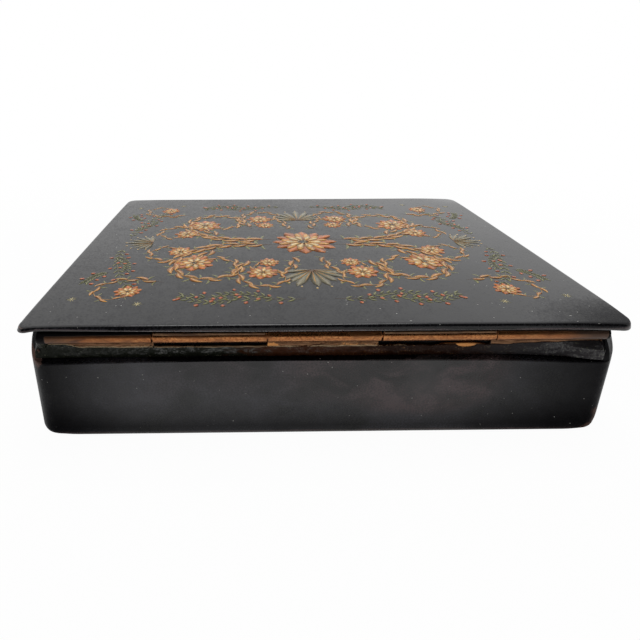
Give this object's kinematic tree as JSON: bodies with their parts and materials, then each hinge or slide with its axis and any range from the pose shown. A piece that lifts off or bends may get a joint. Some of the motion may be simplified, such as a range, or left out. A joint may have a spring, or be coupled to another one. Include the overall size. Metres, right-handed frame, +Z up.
{
  "type": "lacquered box with hinged lid",
  "caption": "Low rectangular papier-mache box with a glossy black lacquer finish, an overhanging flat lid with a painted floral panel, and a full-length brass barrel hinge.",
  "frame": {"origin": "centre of the underside, on the surface that the box stands on", "axes": "+X along the hinge, +Y towards the hinge at the back, +Z up; the front that opens faces -Y"},
  "size_m": [0.2, 0.156, 0.044],
  "materials": {
    "black_lacquer": "pressed papier-mache under many coats of glossy black lacquer",
    "red_lacquer": "pressed papier-mache under glossy red lacquer, as on the inside of the box",
    "hinge_brass": "worn coppery brass sheet, partly lacquered over"
  },
  "bodies": {
    "base": {"base_walls": "black_lacquer", "bottom_plate": "black_lacquer", "base_leaf": "hinge_brass", "base_leaf_brads": "hinge_brass", "hinge_pin": "hinge_brass"},
    "lid": {"lid_plate": "black_lacquer", "lid_rim": "red_lacquer", "lid_leaf": "hinge_brass", "lid_leaf_brads": "hinge_brass"}
  },
  "joints": [
    {"name": "lid_hinge", "type": "hinge", "parent": "base", "child": "lid", "pos_m": [0.0009, 0.0757, 0.0393], "axis": [-1, 0, 0], "range_deg": [0, 105]}
  ]
}
